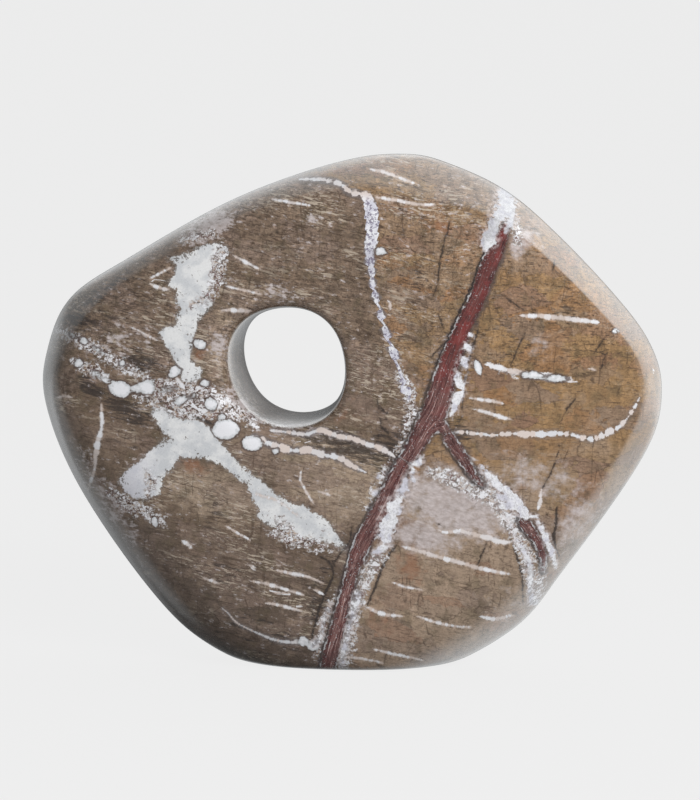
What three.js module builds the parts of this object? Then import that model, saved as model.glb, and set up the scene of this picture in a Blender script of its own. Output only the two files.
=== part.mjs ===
// A free-standing decor stone: one piece of veined brown fossil marble, ground by hand into a
// soft-edged slab with a hole right through it, and flattened underneath so that it stands.
// Millimetres. +X is to the right seen from the front, +Y to the back and +Z up.
// The origin is on the surface that the stone stands on, under the middle of its bounding box.

import * as THREE from "three";

// Half thicknesses at the middle of the broad faces, and the radii that the faces are domed to.
const FACE_MIDDLE_Z = 125;
const FRONT = { depth: 47, domeRadius: 800 };
const BACK = { depth: 47, domeRadius: 560 };

// The rim between the two broad faces: crowned from front to back, with a bevel to each face.
const RIM_CROWN_RADIUS = 120;
const FRONT_BEVEL_LEAN = 41;
const BACK_BEVEL_LEAN = 41;
const RIM_TO_BEVEL_SOFTNESS = 14;
const EXTRA_BACK_SOFTNESS = 3;
const FOOT_SOFTNESS = 4;

// The places on the outline that the rim is ground through, anticlockwise seen from the front.
// front and back are how far each bevel reaches in over its face there, and soft is how
// rounded the crease is where the bevel meets the face.
const OUTLINE = [
  { place: "right end", x: 152.5, z: 135.4, front: 11, back: 24, soft: 4 },
  { place: "right shoulder", x: 145.3, z: 158.5, front: 7.5, back: 20, soft: 2.2 },
  { place: "upper right, low", x: 127.7, z: 181.4, front: 7.5, back: 18, soft: 1.6 },
  { place: "upper right, high", x: 97.4, z: 213.9, front: 10.5, back: 24, soft: 1.6 },
  { place: "top right", x: 74.2, z: 234.9, front: 17, back: 28, soft: 2 },
  { place: "crest, right", x: 47.6, z: 246.8, front: 24, back: 22, soft: 4 },
  { place: "crest", x: 28.8, z: 250.4, front: 24, back: 18, soft: 6 },
  { place: "crest, left", x: -2.8, z: 246.9, front: 18, back: 22, soft: 7 },
  { place: "upper left, high", x: -55.3, z: 229.5, front: 11, back: 32, soft: 7 },
  { place: "upper left, low", x: -108.1, z: 200.3, front: 11, back: 28, soft: 6 },
  { place: "left shoulder", x: -138.6, z: 179.9, front: 17, back: 16, soft: 3 },
  { place: "left end, high", x: -150, z: 154.7, front: 16, back: 15, soft: 6 },
  { place: "left end, low", x: -152.1, z: 129, front: 15, back: 22, soft: 9 },
  { place: "lower left, high", x: -136.1, z: 87, front: 18, back: 22, soft: 15 },
  { place: "lower left, low", x: -98.7, z: 32.9, front: 20, back: 16, soft: 17 },
  { place: "foot corner, left", x: -70.4, z: 6.9, front: 20, back: 16, soft: 16 },
  { place: "foot, left", x: -29.3, z: -8.4, front: 17, back: 19, soft: 14 },
  { place: "foot, right", x: 28.4, z: -8.2, front: 17, back: 19, soft: 14 },
  { place: "foot corner, right", x: 79, z: 15.4, front: 20, back: 20, soft: 14 },
  { place: "lower right, low", x: 106.4, z: 47.2, front: 16, back: 30, soft: 10 },
  { place: "lower right, high", x: 146.1, z: 104.4, front: 16, back: 28, soft: 4 },
];

// The hole: its narrowest radius with slow waves that make it a little uneven, and the flare
// towards both faces. Its mouth is rounded over widely on one side and tightly on the other.
const HOLE = {
  x: -28.3,
  z: 148.2,
  radius: 27.2,
  waves: [
    { lobes: 2, height: 0.7, turn: -55 },
    { lobes: 3, height: 0.35, turn: 45 },
    { lobes: 4, height: 0.45, turn: 53 },
  ],
  flare: 2,
  flareDepth: 45,
};
const HOLE_LIP = { soft: 9, swing: 5, turn: 205, fadeDepth: 30 };

// How the surface is divided: sections round the hole, and steps on the four quarters of each,
// which lie closer together the more the surface turns.
const SECTIONS = 116;
const SECTION_STEPS = { rimToBack: 11, backToHole: 10, holeToFront: 10, frontToRim: 11 };
const TRIALS_PER_QUARTER = 40;
const TURN_WEIGHT = 70;
const OUTLINE_STEPS_PER_PLACE = 12;
const BISECTIONS = 26;

const radians = THREE.MathUtils.degToRad;
const clamp = THREE.MathUtils.clamp;

// The larger of two distances, rounded over where they are within softness of each other.
function softMax(a, b, softness) {
  const share = Math.max(softness - Math.abs(a - b), 0) / softness;
  return Math.max(a, b) + (share * share * softness) / 4;
}

// A closed smooth curve that passes through one vector for each place on the outline.
function closedCurve(vectorAt) {
  return new THREE.CatmullRomCurve3(OUTLINE.map(vectorAt), true, "catmullrom", 0.5);
}

// The outline as short chords, each with the bevel widths and softness at both of its ends.
function outlineChords() {
  const route = closedCurve(({ x, z }) => new THREE.Vector3(x, 0, z));
  const bevels = closedCurve(({ front, back, soft }) => new THREE.Vector3(front, back, soft));
  const count = OUTLINE.length * OUTLINE_STEPS_PER_PLACE;
  const ends = Array.from({ length: count }, (_, i) => ({
    point: route.getPoint(i / count),
    bevel: bevels.getPoint(i / count),
  }));
  return ends.map((from, i) => {
    const to = ends[(i + 1) % count];
    const run = to.point.clone().sub(from.point);
    return { from, to, run, lengthSquared: run.lengthSq() };
  });
}

const CHORDS = outlineChords();

// How far a point is outside the outline (negative inside), and the bevel values nearest to it.
function outlineAt(x, z) {
  let nearest = { distanceSquared: Infinity };
  for (const chord of CHORDS) {
    const dx = x - chord.from.point.x;
    const dz = z - chord.from.point.z;
    const share = clamp((dx * chord.run.x + dz * chord.run.z) / chord.lengthSquared, 0, 1);
    const offX = dx - share * chord.run.x;
    const offZ = dz - share * chord.run.z;
    const distanceSquared = offX * offX + offZ * offZ;
    if (distanceSquared < nearest.distanceSquared) {
      nearest = { distanceSquared, chord, share, dx, dz };
    }
  }
  const { chord, share, dx, dz } = nearest;
  const isInside = chord.run.x * dz - chord.run.z * dx > 0;
  const distance = Math.sqrt(nearest.distanceSquared) * (isInside ? -1 : 1);
  return { distance, bevel: chord.from.bevel.clone().lerp(chord.to.bevel, share) };
}

// A bevel that leans from the rim to a face, reaching width in over the face.
function bevelDistance(outside, overFace, width, lean) {
  return Math.cos(radians(lean)) * (outside + width) + Math.sin(radians(lean)) * overFace;
}

// Signed distance to the ground slab before the hole is made: negative inside the stone.
function slabDistance(x, y, z) {
  const { distance: outside, bevel } = outlineAt(x, z);
  const [frontWidth, backWidth, soft] = bevel.toArray();
  const fromMiddleSquared = x * x + (z - FACE_MIDDLE_Z) ** 2;
  const overFront = -y - FRONT.depth + fromMiddleSquared / (2 * FRONT.domeRadius);
  const overBack = y - BACK.depth + fromMiddleSquared / (2 * BACK.domeRadius);
  const frontBevel = bevelDistance(outside, overFront, frontWidth, FRONT_BEVEL_LEAN);
  const backBevel = bevelDistance(outside, overBack, backWidth, BACK_BEVEL_LEAN);
  let distance = outside + (y * y) / (2 * RIM_CROWN_RADIUS);
  distance = softMax(distance, frontBevel, RIM_TO_BEVEL_SOFTNESS);
  distance = softMax(distance, backBevel, RIM_TO_BEVEL_SOFTNESS);
  distance = softMax(distance, overFront, soft);
  distance = softMax(distance, overBack, soft + EXTRA_BACK_SOFTNESS);
  return softMax(distance, -z, FOOT_SOFTNESS);
}

// The hole's narrowest radius in a direction round its axis.
function holeRadius(angle) {
  return HOLE.waves.reduce((radius, { lobes, height, turn }) => {
    return radius + height * Math.cos(lobes * (angle - radians(turn)));
  }, HOLE.radius);
}

// Signed distance to the stone with its hole: negative inside the stone.
function stoneDistance(x, y, z) {
  const dx = x - HOLE.x;
  const dz = z - HOLE.z;
  const angle = Math.atan2(dz, dx);
  const flare = HOLE.flare * (Math.abs(y) / HOLE.flareDepth) ** 3;
  const insideHole = holeRadius(angle) + flare - Math.hypot(dx, dz);
  const side = clamp(-y / HOLE_LIP.fadeDepth, -1, 1);
  const lip = HOLE_LIP.soft + HOLE_LIP.swing * side * Math.cos(angle - radians(HOLE_LIP.turn));
  return softMax(slabDistance(x, y, z), insideHole, lip);
}

// The last distance along a ray at which a test still says inside.
function reach(farthest, isInsideAt) {
  let near = 0;
  let far = farthest;
  for (let i = 0; i < BISECTIONS; i++) {
    const middle = (near + far) / 2;
    if (isInsideAt(middle)) {
      near = middle;
    } else {
      far = middle;
    }
  }
  return near;
}

// How far the outline is from the hole's axis in a direction.
function outlineRadius(angle) {
  const cos = Math.cos(angle);
  const sin = Math.sin(angle);
  return reach(300, (r) => outlineAt(HOLE.x + r * cos, HOLE.z + r * sin).distance < 0);
}

// Directions round the hole, closer together where the stone reaches further from it.
function sectionAngles() {
  const fine = SECTIONS * 4;
  const lengths = [0];
  let last = null;
  for (let i = 0; i <= fine; i++) {
    const angle = (i / fine) * 2 * Math.PI;
    const radius = (outlineRadius(angle) + HOLE.radius) / 2;
    const point = new THREE.Vector2(radius, 0).rotateAround(new THREE.Vector2(), angle);
    if (last) {
      lengths.push(lengths[i - 1] + point.distanceTo(last));
    }
    last = point;
  }
  const total = lengths[fine];
  return Array.from({ length: SECTIONS }, (_, section) => {
    const wanted = (section / SECTIONS) * total;
    const after = lengths.findIndex((length) => length > wanted);
    const share = (wanted - lengths[after - 1]) / (lengths[after] - lengths[after - 1]);
    return ((after - 1 + share) / fine) * 2 * Math.PI;
  });
}

// A direction round a section, as a point on the edge of a square. It goes from the middle of the
// rim at 0 to the middle of the back at 1, of the hole at 2 and of the front at 3.
function squareDirection(turn) {
  const stops = [[1, 0], [1, 1], [0, 1], [-1, 1], [-1, 0], [-1, -1], [0, -1], [1, -1], [1, 0]];
  const stop = Math.min(Math.floor(turn * 2), 7);
  const from = new THREE.Vector2(...stops[stop]);
  return from.lerp(new THREE.Vector2(...stops[stop + 1]), turn * 2 - stop);
}

// The surface along a direction round a section, as distances out from the axis and back.
function surfaceAt(angle, turn) {
  const outer = outlineRadius(angle);
  const inner = holeRadius(angle);
  const core = (outer + inner) / 2;
  const { x, y } = squareDirection(turn);
  const aim = new THREE.Vector2((x * (outer - inner)) / 2, y * FRONT.depth).normalize();
  const farthest = aim.x < 0 ? Math.min(core / -aim.x, 300) : 300;
  const length = reach(farthest, (d) => {
    const out = core + aim.x * d;
    const back = aim.y * d;
    return stoneDistance(HOLE.x + out * Math.cos(angle), back, HOLE.z + out * Math.sin(angle)) < 0;
  });
  return new THREE.Vector2(core + aim.x * length, aim.y * length);
}

// Where the steps of one quarter start: evenly spread over its length and its turning together.
function quarterTurns(angle, quarter, steps) {
  const turnOf = (trial) => quarter + trial / TRIALS_PER_QUARTER;
  const count = TRIALS_PER_QUARTER + 1;
  const trials = Array.from({ length: count }, (_, i) => surfaceAt(angle, turnOf(i)));
  const runs = trials.slice(1).map((point, i) => point.clone().sub(trials[i]));
  const bends = runs.slice(1).map((run, i) => Math.abs(run.angleTo(runs[i])));
  const weights = runs.map((run, i) => {
    const bend = ((bends[i - 1] ?? 0) + (bends[i] ?? 0)) / 2;
    return run.length() + TURN_WEIGHT * bend;
  });
  const total = weights.reduce((sum, weight) => sum + weight, 0);
  return Array.from({ length: steps }, (_, step) => {
    let left = (step / steps) * total;
    let trial = 0;
    while (left > weights[trial]) {
      left -= weights[trial];
      trial += 1;
    }
    return turnOf(trial + left / weights[trial]);
  });
}

// One closed ring of surface points in the half plane that leaves the hole's axis at an angle.
function sectionPoints(angle) {
  const turns = Object.values(SECTION_STEPS).flatMap((steps, i) => quarterTurns(angle, i, steps));
  return turns.map((turn) => {
    const { x: out, y: back } = surfaceAt(angle, turn);
    return [HOLE.x + out * Math.cos(angle), back, HOLE.z + out * Math.sin(angle)];
  });
}

// The stone's whole surface: neighbouring sections joined by quads, as on a torus.
function stoneGeometry() {
  const sections = sectionAngles().map(sectionPoints);
  const around = sections[0].length;
  const triangles = [];
  for (let s = 0; s < SECTIONS; s++) {
    for (let k = 0; k < around; k++) {
      const here = s * around + k;
      const onward = s * around + ((k + 1) % around);
      const next = ((s + 1) % SECTIONS) * around + k;
      const across = ((s + 1) % SECTIONS) * around + ((k + 1) % around);
      triangles.push(here, onward, across, here, across, next);
    }
  }
  const geometry = new THREE.BufferGeometry();
  geometry.setAttribute("position", new THREE.Float32BufferAttribute(sections.flat(2), 3));
  geometry.setIndex(triangles);
  geometry.computeBoundingBox();
  const { min, max } = geometry.boundingBox;
  geometry.translate(-(min.x + max.x) / 2, -(min.y + max.y) / 2, 0);
  geometry.computeVertexNormals();
  return geometry;
}

const polishedMarble = new THREE.MeshStandardMaterial({
  color: new THREE.Color(0.44, 0.34, 0.25),
  roughness: 0.22,
  metalness: 0,
});

const stone = new THREE.Mesh(stoneGeometry(), polishedMarble);
stone.name = "stone";

const group = new THREE.Group();
group.add(stone);

export default group;
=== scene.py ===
"""A free-standing polished fossil marble stone with a hole through it, dressed around its solid.

The stone's veins are laid out as routes on the front of the stone, seen from where the camera
stands, and run back through it as sheets. Everything finer comes from procedural noise.
"""

import logging
import math
from dataclasses import dataclass, field
from enum import Enum

import bpy
import numpy as np
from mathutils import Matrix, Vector


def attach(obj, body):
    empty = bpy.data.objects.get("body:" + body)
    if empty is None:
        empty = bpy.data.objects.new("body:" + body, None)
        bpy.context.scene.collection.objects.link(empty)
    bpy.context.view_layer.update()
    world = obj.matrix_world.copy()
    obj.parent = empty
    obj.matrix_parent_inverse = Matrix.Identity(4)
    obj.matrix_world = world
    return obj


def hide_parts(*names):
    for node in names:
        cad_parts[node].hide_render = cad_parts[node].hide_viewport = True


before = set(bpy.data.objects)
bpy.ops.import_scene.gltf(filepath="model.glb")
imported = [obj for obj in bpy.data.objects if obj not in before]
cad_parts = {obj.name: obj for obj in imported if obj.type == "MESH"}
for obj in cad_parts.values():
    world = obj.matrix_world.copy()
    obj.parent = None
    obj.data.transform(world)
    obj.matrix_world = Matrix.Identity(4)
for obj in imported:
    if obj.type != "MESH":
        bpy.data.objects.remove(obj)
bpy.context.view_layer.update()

STONE_NODE = "stone"
LOG = logging.getLogger("marble")
# Millimetres in a metre.
MM = 1000
# Picture pixels, more than any place lies from a vein or patch.
FAR = 1000.0

Socket = bpy.types.NodeSocket
Colour = tuple[float, float, float]
Value = Socket | float | Colour


def srgb(red: int, green: int, blue: int) -> Colour:
    """Turns a colour as a picture shows it into the linear light that a shader takes.

    Args:
        red: Red from 0 to 255.
        green: Green from 0 to 255.
        blue: Blue from 0 to 255.

    Returns:
        The three linear parts from 0 to 1.
    """
    parts = (value / 255 for value in (red, green, blue))
    return tuple(p / 12.92 if p <= 0.04045 else ((p + 0.055) / 1.055) ** 2.4 for p in parts)


@dataclass(frozen=True)
class View:
    """Where the camera stands, and where a point of the stone falls in its picture.

    Attributes:
        azimuth: Degrees that the camera stands round to the right of the front.
        elevation: Degrees that it looks down.
        distance: Metres from the aim to the camera.
        aim: The point of the stone that aim_pixel shows.
        aim_pixel: Where the aim falls in the picture.
        picture: The picture's width and height in pixels.
        pixel: Metres that one pixel spans at the aim.
        sensor: How wide the camera's sensor is, in millimetres.
    """

    azimuth: float = 4.0
    elevation: float = 5.0
    distance: float = 1.5
    aim: tuple[float, float, float] = (0.0, 0.0, 0.125)
    aim_pixel: tuple[float, float] = (351.0, 408.3)
    picture: tuple[int, int] = (700, 800)
    pixel: float = 0.000487
    sensor: float = 36.0

    def axes(self) -> tuple[np.ndarray, np.ndarray, np.ndarray]:
        """Gives the picture's right and up directions, and the way the camera looks.

        Returns:
            Unit vectors to the right, up and forward.
        """
        around, down = math.radians(self.azimuth), math.radians(self.elevation)
        forward = np.array(
            [-math.sin(around) * math.cos(down), math.cos(around) * math.cos(down), -math.sin(down)]
        )
        right = np.array([math.cos(around), math.sin(around), 0.0])
        return right, np.cross(right, forward), forward

    def to_picture(self, points: np.ndarray) -> np.ndarray:
        """Finds where points of the stone fall in the picture.

        Args:
            points: Places in metres, one in each row.

        Returns:
            Their pixels, x to the right and y down, one pair in each row.
        """
        right, up, forward = self.axes()
        offset = points - np.array(self.aim)
        shrink = self.distance / (self.distance + offset @ forward) / self.pixel
        across = self.aim_pixel[0] + (offset @ right) * shrink
        down = self.aim_pixel[1] - (offset @ up) * shrink
        return np.stack([across, down], axis=1)

    def add_camera(self) -> bpy.types.Object:
        """Adds the camera, moved sideways just enough to put the aim on its pixel.

        Returns:
            The camera object.
        """
        right, up, forward = self.axes()
        width, height = self.picture
        to_centre = (width / 2 - self.aim_pixel[0]) * right + (self.aim_pixel[1] - height / 2) * up
        place = np.array(self.aim) + to_centre * self.pixel - forward * self.distance
        bpy.ops.object.camera_add(location=place)
        camera = bpy.context.object
        camera.name = "camera"
        camera.rotation_euler = Vector(forward).to_track_quat("-Z", "Y").to_euler()
        camera.data.sensor_fit = "HORIZONTAL"
        camera.data.sensor_width = self.sensor
        camera.data.lens = self.sensor * self.distance / (width * self.pixel)
        bpy.context.scene.camera = camera
        return camera


@dataclass(frozen=True)
class Sheets:
    """How the veins and beds run back through the stone.

    Attributes:
        half_depth: Metres from the stone's middle to its back, over which they lean.
        lean: Picture pixels that they move to the right and down by the back.
        curve: How slowly the lean begins.
        dip: Degrees that the beds fall to the right.
        right_dip: Degrees that they fall in the upper right.
        right_from: Picture pixels across past which they turn to right_dip.
        right_to: Picture pixels down by which that turn is gone, and over how many it fades.
        tan_to: Picture pixels down by which the tan ground between the great veins narrows.
        patch_loss: Picture pixels that the pale patches lose all round by the back.
    """

    half_depth: float = 0.047
    lean: tuple[float, float] = (78.0, -29.0)
    curve: float = 1.5
    dip: float = 13.0
    right_dip: float = 3.5
    right_from: float = 430.0
    right_to: tuple[float, float] = (560.0, 80.0)
    tan_to: float = 395.0
    patch_loss: float = 3.0


SHEETS = Sheets()


@dataclass(frozen=True)
class Glow:
    """One broad soft light of the surroundings.

    Attributes:
        towards: The direction in which it is brightest.
        spread: How closely a direction agrees with that one where the glow begins and is full.
        strength: How bright it is, or less than 0 where it darkens.
    """

    towards: tuple[float, float, float]
    spread: tuple[float, float]
    strength: float


@dataclass(frozen=True)
class Lamp:
    """One soft rectangular lamp.

    Attributes:
        name: Its name.
        place: Where it hangs, in metres.
        aim: The point that it faces.
        size: Its width and height in metres.
        power: Its power in watts.
    """

    name: str
    place: tuple[float, float, float]
    aim: tuple[float, float, float]
    size: tuple[float, float]
    power: float

    def build(self) -> None:
        """Adds the lamp, which lights the stone but isn't mirrored in it."""
        bpy.ops.object.light_add(type="AREA", location=self.place)
        lamp = bpy.context.object
        lamp.name = self.name
        facing = Vector(self.aim) - Vector(self.place)
        lamp.rotation_euler = facing.to_track_quat("-Z", "Y").to_euler()
        lamp.data.shape = "RECTANGLE"
        lamp.data.size, lamp.data.size_y = self.size
        lamp.data.energy = self.power
        lamp.visible_camera = False
        lamp.visible_glossy = False


@dataclass(frozen=True)
class Paper:
    """The floor's matt near-white paper.

    Attributes:
        colour: Its colour under the lamp.
        glow: How brightly it shines of itself, so that it looks even all over.
    """

    colour: Colour = srgb(56, 56, 56)
    glow: float = 0.82

    def build(self) -> bpy.types.Material:
        """Makes the paper.

        Returns:
            The material.
        """
        material = bpy.data.materials.new("pale_paper")
        material.use_nodes = True
        shader = material.node_tree.nodes["Principled BSDF"]
        shader.inputs["Base Color"].default_value = (*self.colour, 1)
        shader.inputs["Emission Color"].default_value = (1, 1, 1, 1)
        shader.inputs["Emission Strength"].default_value = self.glow
        shader.inputs["Roughness"].default_value = 1.0
        shader.inputs["Specular IOR Level"].default_value = 0.0
        return material


@dataclass(frozen=True)
class Studio:
    """A plain pale floor that turns up into a wall all round, and soft light.

    Attributes:
        radius: How far the wall stands, in metres.
        height: How high it goes.
        bend: The radius of the turn between floor and wall.
        bend_steps: How many faces that turn has.
        sides: How many sides the wall has.
        dimmest: How bright the surroundings are where no glow reaches.
        tint: The surroundings' colour.
        lamp: The lamp, in front on the right.
        glows: The broad lights, the strongest behind on the right.
    """

    radius: float = 3.0
    height: float = 3.0
    bend: float = 1.0
    bend_steps: int = 16
    sides: int = 96
    dimmest: float = 0.12
    tint: Colour = (0.95, 0.98, 1.0)
    lamp: Lamp = Lamp("lamp_front", (1.0, -1.9, 1.0), (0, 0, 0.12), (1.5, 1.0), 58.5)
    glows: tuple[Glow, ...] = (
        Glow((0.62, 0.70, 0.35), (0.70, 0.97), 0.45),
        Glow((0.95, 0.10, 0.30), (0.60, 0.95), 0.28),
        Glow((0.40, 0.55, 0.73), (0.70, 0.97), 0.80),
        Glow((-0.50, 0.60, 0.62), (0.75, 0.97), 0.22),
        Glow((0.66, 0.52, -0.54), (0.60, 0.95), 0.72),
        Glow((-0.85, 0.40, -0.35), (0.86, 0.98), 0.34),
        Glow((-0.22, 0.87, 0.44), (0.92, 0.985), 0.70),
        Glow((-0.60, 0.79, -0.10), (0.91, 0.985), 0.46),
        Glow((0.05, 0.92, -0.38), (0.93, 0.99), 0.30),
        Glow((0.50, 0.86, 0.00), (0.90, 0.985), 0.22),
        Glow((-0.45, 0.45, -0.77), (0.60, 0.95), -0.06),
    )

    def build(self) -> None:
        """Adds the floor, the surroundings and the lamp."""
        self.add_floor()
        self.add_surroundings()
        self.lamp.build()

    def add_floor(self) -> None:
        """Adds the floor and wall, which the camera sees and the stone doesn't mirror."""
        bpy.ops.object.select_all(action="DESELECT")
        bpy.ops.mesh.primitive_cylinder_add(
            vertices=self.sides, radius=self.radius, depth=self.height, location=(0, 0, self.height / 2)
        )
        floor = bpy.context.object
        floor.name = "floor"
        bpy.ops.object.transform_apply(location=True)
        bpy.ops.object.mode_set(mode="EDIT")
        bpy.ops.mesh.select_mode(type="FACE")
        bpy.ops.mesh.select_all(action="DESELECT")
        bpy.ops.object.mode_set(mode="OBJECT")
        for face in floor.data.polygons:
            face.select = face.normal.z > 0.5
        bpy.ops.object.mode_set(mode="EDIT")
        bpy.ops.mesh.delete(type="FACE")
        bpy.ops.mesh.select_all(action="SELECT")
        bpy.ops.mesh.flip_normals()
        bpy.ops.object.mode_set(mode="OBJECT")
        bend = floor.modifiers.new("bend", "BEVEL")
        bend.width = self.bend
        bend.segments = self.bend_steps
        bpy.ops.object.modifier_apply(modifier=bend.name)
        bpy.ops.object.shade_smooth()
        floor.data.materials.append(Paper().build())
        floor.visible_diffuse = False
        floor.visible_glossy = False
        floor.visible_shadow = False

    def add_surroundings(self) -> None:
        """Lights the stone softly from the right and above."""
        world = bpy.data.worlds.new("surroundings")
        world.use_nodes = True
        nodes, links = world.node_tree.nodes, world.node_tree.links
        direction = nodes.new("ShaderNodeTexCoord").outputs["Generated"]
        total = None
        for glow in self.glows:
            agree = nodes.new("ShaderNodeVectorMath")
            agree.operation = "DOT_PRODUCT"
            links.new(direction, agree.inputs[0])
            agree.inputs[1].default_value = glow.towards
            rise = nodes.new("ShaderNodeMapRange")
            rise.interpolation_type = "SMOOTHSTEP"
            links.new(agree.outputs["Value"], rise.inputs["Value"])
            rise.inputs["From Min"].default_value, rise.inputs["From Max"].default_value = glow.spread
            rise.inputs["To Max"].default_value = glow.strength
            add = nodes.new("ShaderNodeMath")
            add.inputs[0].default_value = self.dimmest
            if total:
                links.new(total, add.inputs[0])
            links.new(rise.outputs["Result"], add.inputs[1])
            total = add.outputs[0]
        links.new(total, nodes["Background"].inputs["Strength"])
        nodes["Background"].inputs["Color"].default_value = (*self.tint, 1)
        bpy.context.scene.world = world


@dataclass(frozen=True)
class Stone:
    """The stone itself: the solid's form, merged, rounded and divided finely.

    Attributes:
        levels: How many times the solid's four-sided faces are divided.
        merge: Distance in metres under which loose corners are one.
    """

    levels: int = 2
    merge: float = 0.00001

    def build(self) -> bpy.types.Object:
        """Makes the fine stone from a copy of the solid.

        Returns:
            The finished object, at the origin, with its place in its mesh.
        """
        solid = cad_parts[STONE_NODE]
        bpy.ops.object.select_all(action="DESELECT")
        piece = solid.copy()
        piece.data = solid.data.copy()
        piece.name = "marble_stone"
        piece.data.name = "marble_stone"
        piece.data.materials.clear()
        piece.parent = None
        bpy.context.scene.collection.objects.link(piece)
        piece.select_set(True)
        bpy.context.view_layer.objects.active = piece
        bpy.ops.object.mode_set(mode="EDIT")
        bpy.ops.mesh.select_all(action="SELECT")
        bpy.ops.mesh.remove_doubles(threshold=self.merge)
        bpy.ops.mesh.tris_convert_to_quads(face_threshold=math.pi, shape_threshold=math.pi)
        bpy.ops.object.mode_set(mode="OBJECT")
        divide = piece.modifiers.new("divide", "SUBSURF")
        divide.levels = divide.render_levels = self.levels
        bpy.ops.object.modifier_apply(modifier=divide.name)
        bpy.ops.object.shade_smooth()
        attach(piece, "root")
        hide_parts(STONE_NODE)
        return piece


@dataclass(frozen=True)
class Route:
    """One vein's way across the front, as the picture shows it.

    Attributes:
        stops: Places along it, each its x, y and width in picture pixels.
        steps: How many short runs join one place to the next.
        thinnest: The least half width, in pixels, that distance along it is counted in.
    """

    stops: tuple[tuple[float, float, float], ...]
    steps: int = 4
    thinnest: float = 0.8

    def smoothed(self) -> np.ndarray:
        """Rounds the way through its places.

        Returns:
            Closely spaced places, one x, y and width in each row.
        """
        stops = np.array(self.stops, dtype=float)
        padded = np.concatenate([2 * stops[:1] - stops[1:2], stops, 2 * stops[-1:] - stops[-2:-1]])
        rows = []
        for before, start, end, after in zip(padded, padded[1:], padded[2:], padded[3:]):
            for part in np.arange(self.steps) / self.steps:
                pull = (end - before) * part
                bend = (2 * before - 5 * start + 4 * end - after) * part**2
                turn = (3 * start - before - 3 * end + after) * part**3
                rows.append(start + (pull + bend + turn) / 2)
        return np.array([*rows, stops[-1]])

    def measure(self, spots: np.ndarray) -> tuple[np.ndarray, np.ndarray, np.ndarray]:
        """Measures picture places against the vein.

        Args:
            spots: Picture places, one x and y in each row.

        Returns:
            How far each lies across the vein, to the right of its way down being more than 0, the
            vein's half width there, and how far along it is in half widths.
        """
        way = self.smoothed()
        across = np.full(len(spots), FAR)
        half = np.full(len(spots), -FAR)
        along = np.zeros(len(spots))
        gone = 0.0
        last = len(way) - 2
        for index, (start, end) in enumerate(zip(way, way[1:])):
            run = end[:2] - start[:2]
            length = max(float(np.hypot(*run)), 1e-6)
            run = run / length
            offset = spots - start[:2]
            ahead = offset @ run
            aside = offset[:, 0] * run[1] - offset[:, 1] * run[0]
            part = np.clip(ahead / length, 0, 1)
            beyond = np.abs(ahead - part * length)
            width = (start[2] + (end[2] - start[2]) * part) / 2
            ends_here = ((index == 0) & (ahead < 0)) | ((index == last) & (ahead > length))
            reach = np.where(ends_here, width - beyond, width)
            away = np.where(ends_here, aside, np.copysign(np.hypot(aside, beyond), aside))
            closer = reach - np.abs(away) > half - np.abs(across)
            across = np.where(closer, away, across)
            half = np.where(closer, reach, half)
            per_half = length / max((start[2] + end[2]) / 4, self.thinnest)
            along = np.where(closer, gone + part * per_half, along)
            gone += per_half
        return across, half, along


def nearest_route(
    routes: tuple[Route, ...], spots: np.ndarray, apart: float = 37.0
) -> tuple[np.ndarray, ...]:
    """Measures picture places against whichever vein covers them best.

    Args:
        routes: The veins.
        spots: Picture places, one x and y in each row.
        apart: How much further along each vein starts than the one before, so that they differ.

    Returns:
        The across, half width and along of Route.measure.
    """
    best = (np.full(len(spots), FAR), np.full(len(spots), -FAR), np.zeros(len(spots)))
    for number, route in enumerate(routes):
        across, half, along = route.measure(spots)
        closer = half - np.abs(across) > best[1] - np.abs(best[0])
        found = (across, half, along + apart * number)
        best = tuple(np.where(closer, new, old) for new, old in zip(found, best))
    return best


@dataclass(frozen=True)
class Patch:
    """One broad pale patch, by its drawn edge.

    Attributes:
        edge: Places round the edge, each its x and y in picture pixels.
    """

    edge: tuple[tuple[float, float], ...]

    def inside(self, spots: np.ndarray) -> np.ndarray:
        """Measures how deep inside the patch picture places lie.

        Args:
            spots: Picture places, one x and y in each row.

        Returns:
            Pixels from the edge, less than 0 outside.
        """
        edge = np.array(self.edge, dtype=float)
        away = np.full(len(spots), FAR)
        within = np.zeros(len(spots), dtype=bool)
        for start, end in zip(edge, np.roll(edge, -1, axis=0)):
            run = end - start
            offset = spots - start
            part = np.clip(offset @ run / (run @ run), 0, 1)
            away = np.minimum(away, np.hypot(*(offset - part[:, None] * run).T))
            if start[1] != end[1]:
                spans = (spots[:, 1] < start[1]) != (spots[:, 1] < end[1])
                meets = start[0] + (spots[:, 1] - start[1]) * run[0] / run[1]
                within ^= spans & (spots[:, 0] < meets)
        return np.where(within, away, -away)


@dataclass(frozen=True)
class Oval:
    """One rounded bead or blot.

    Attributes:
        x: Its middle to the right, in picture pixels.
        y: Its middle down.
        long: Half its length.
        short: Half its width.
        tilt: Degrees that its length falls to the right.
        strength: How strong a blot is.
    """

    x: float
    y: float
    long: float
    short: float
    tilt: float = 0.0
    strength: float = 1.0

    def inside(self, spots: np.ndarray) -> np.ndarray:
        """Measures how deep inside the oval picture places lie.

        Args:
            spots: Picture places, one x and y in each row.

        Returns:
            1 at the middle, 0 at the edge and less outside.
        """
        turn = math.radians(self.tilt)
        offset = spots - np.array([self.x, self.y])
        along = offset @ np.array([math.cos(turn), math.sin(turn)]) / self.long
        across = offset @ np.array([-math.sin(turn), math.cos(turn)]) / self.short
        return 1 - np.hypot(along, across)


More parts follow.
